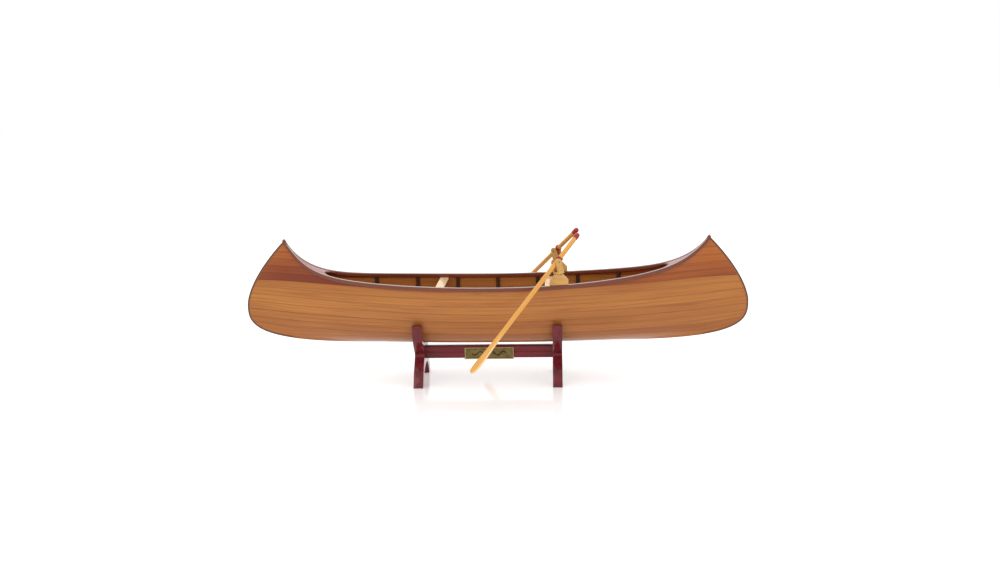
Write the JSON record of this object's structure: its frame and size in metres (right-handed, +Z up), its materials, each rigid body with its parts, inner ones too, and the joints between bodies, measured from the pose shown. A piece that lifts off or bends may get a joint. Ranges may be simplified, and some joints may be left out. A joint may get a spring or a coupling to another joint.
{
  "type": "display canoe on stand",
  "caption": "Strip-planked wooden display canoe with hinged oars in swivelling forks, resting on a wooden cradle stand.",
  "frame": {"origin": "on the floor under the middle of the hull, midway between the stems and on the centreline", "axes": "+X along the hull to the bow, +Y to port, +Z up"},
  "size_m": [0.6096, 0.3384, 0.1824],
  "materials": {
    "cedar_planking": "satin varnish",
    "red_cedar_topside": "satin varnish",
    "mahogany_trim": "gloss varnish",
    "dark_stem_wood": "satin varnish",
    "dark_rib_wood": "satin varnish",
    "pale_thwart_wood": "satin varnish",
    "maple": "satin",
    "oar_wood": "satin varnish",
    "red_lacquer": "gloss lacquer over wood",
    "pin_metal": "dull grey",
    "brass_plate": "aged, satin",
    "dowel_wood": "plain",
    "cherry_stand": "satin stain and lacquer"
  },
  "bodies": {
    "stand": {"bow_cradle_frame": "cherry_stand", "name_plate": "brass_plate", "stand_stretcher": "cherry_stand", "stern_cradle_frame": "cherry_stand", "stretcher_dowels": "dowel_wood"},
    "port_lock": {"port_oar_fork": "maple", "port_oar_pin": "pin_metal"},
    "port_oar_set": {"port_oar": "oar_wood", "port_oar_collar": "red_lacquer", "port_oar_grip": "red_lacquer"},
    "starboard_lock": {"starboard_oar_fork": "maple", "starboard_oar_pin": "pin_metal"},
    "starboard_oar_set": {"starboard_oar": "oar_wood", "starboard_oar_collar": "red_lacquer", "starboard_oar_grip": "red_lacquer"},
    "canoe": {"bow_deck": "mahogany_trim", "bow_port_topside": "red_cedar_topside", "bow_starboard_topside": "red_cedar_topside", "bow_stem": "dark_stem_wood", "front_thwart": "pale_thwart_wood", "keel": "dark_stem_wood", "port_bottom_strip_1": "cedar_planking", "port_bottom_strip_2": "cedar_planking", "port_bottom_strip_3": "cedar_planking", "port_gunwale": "mahogany_trim", "port_oarlock_block": "maple", "port_side_strip_1": "cedar_planking", "port_side_strip_2": "cedar_planking", "port_side_strip_3": "cedar_planking", "port_side_strip_4": "cedar_planking", "port_side_strip_5": "cedar_planking", "port_side_strip_6": "cedar_planking", "port_side_strip_7": "cedar_planking", "rib_1": "dark_rib_wood", "rib_2": "dark_rib_wood", "rib_3": "dark_rib_wood", "rib_4": "dark_rib_wood", "rib_5": "dark_rib_wood", "rib_6": "dark_rib_wood", "rib_7": "dark_rib_wood", "rowing_seat": "pale_thwart_wood", "starboard_bottom_strip_1": "cedar_planking", "starboard_bottom_strip_2": "cedar_planking", "starboard_bottom_strip_3": "cedar_planking", "starboard_gunwale": "mahogany_trim", "starboard_oarlock_block": "maple", "starboard_side_strip_1": "cedar_planking", "starboard_side_strip_2": "cedar_planking", "starboard_side_strip_3": "cedar_planking", "starboard_side_strip_4": "cedar_planking", "starboard_side_strip_5": "cedar_planking", "starboard_side_strip_6": "cedar_planking", "starboard_side_strip_7": "cedar_planking", "stern_deck": "mahogany_trim", "stern_port_topside": "red_cedar_topside", "stern_starboard_topside": "red_cedar_topside", "stern_stem": "dark_stem_wood"}
  },
  "joints": [
    {"name": "canoe_lift", "type": "slide", "parent": "stand", "child": "canoe", "axis": [0, 0, 1], "range_m": [0, 0.12]},
    {"name": "port_oar_swing", "type": "hinge", "parent": "canoe", "child": "port_lock", "pos_m": [0.076, 0.0562, 0.136], "axis": [0, 0, 1], "range_deg": [-60, 20]},
    {"name": "starboard_oar_swing", "type": "hinge", "parent": "canoe", "child": "starboard_lock", "pos_m": [0.076, -0.0562, 0.136], "axis": [0, 0, 1], "range_deg": [-20, 60]},
    {"name": "port_oar_dip", "type": "hinge", "parent": "port_lock", "child": "port_oar_set", "pos_m": [0.07309, 0.0562, 0.15074], "axis": [0.6732, 0.7255, 0.1431], "range_deg": [-12, 28]},
    {"name": "starboard_oar_dip", "type": "hinge", "parent": "starboard_lock", "child": "starboard_oar_set", "pos_m": [0.07309, -0.0562, 0.15074], "axis": [-0.6732, 0.7255, -0.1431], "range_deg": [-12, 28]}
  ]
}
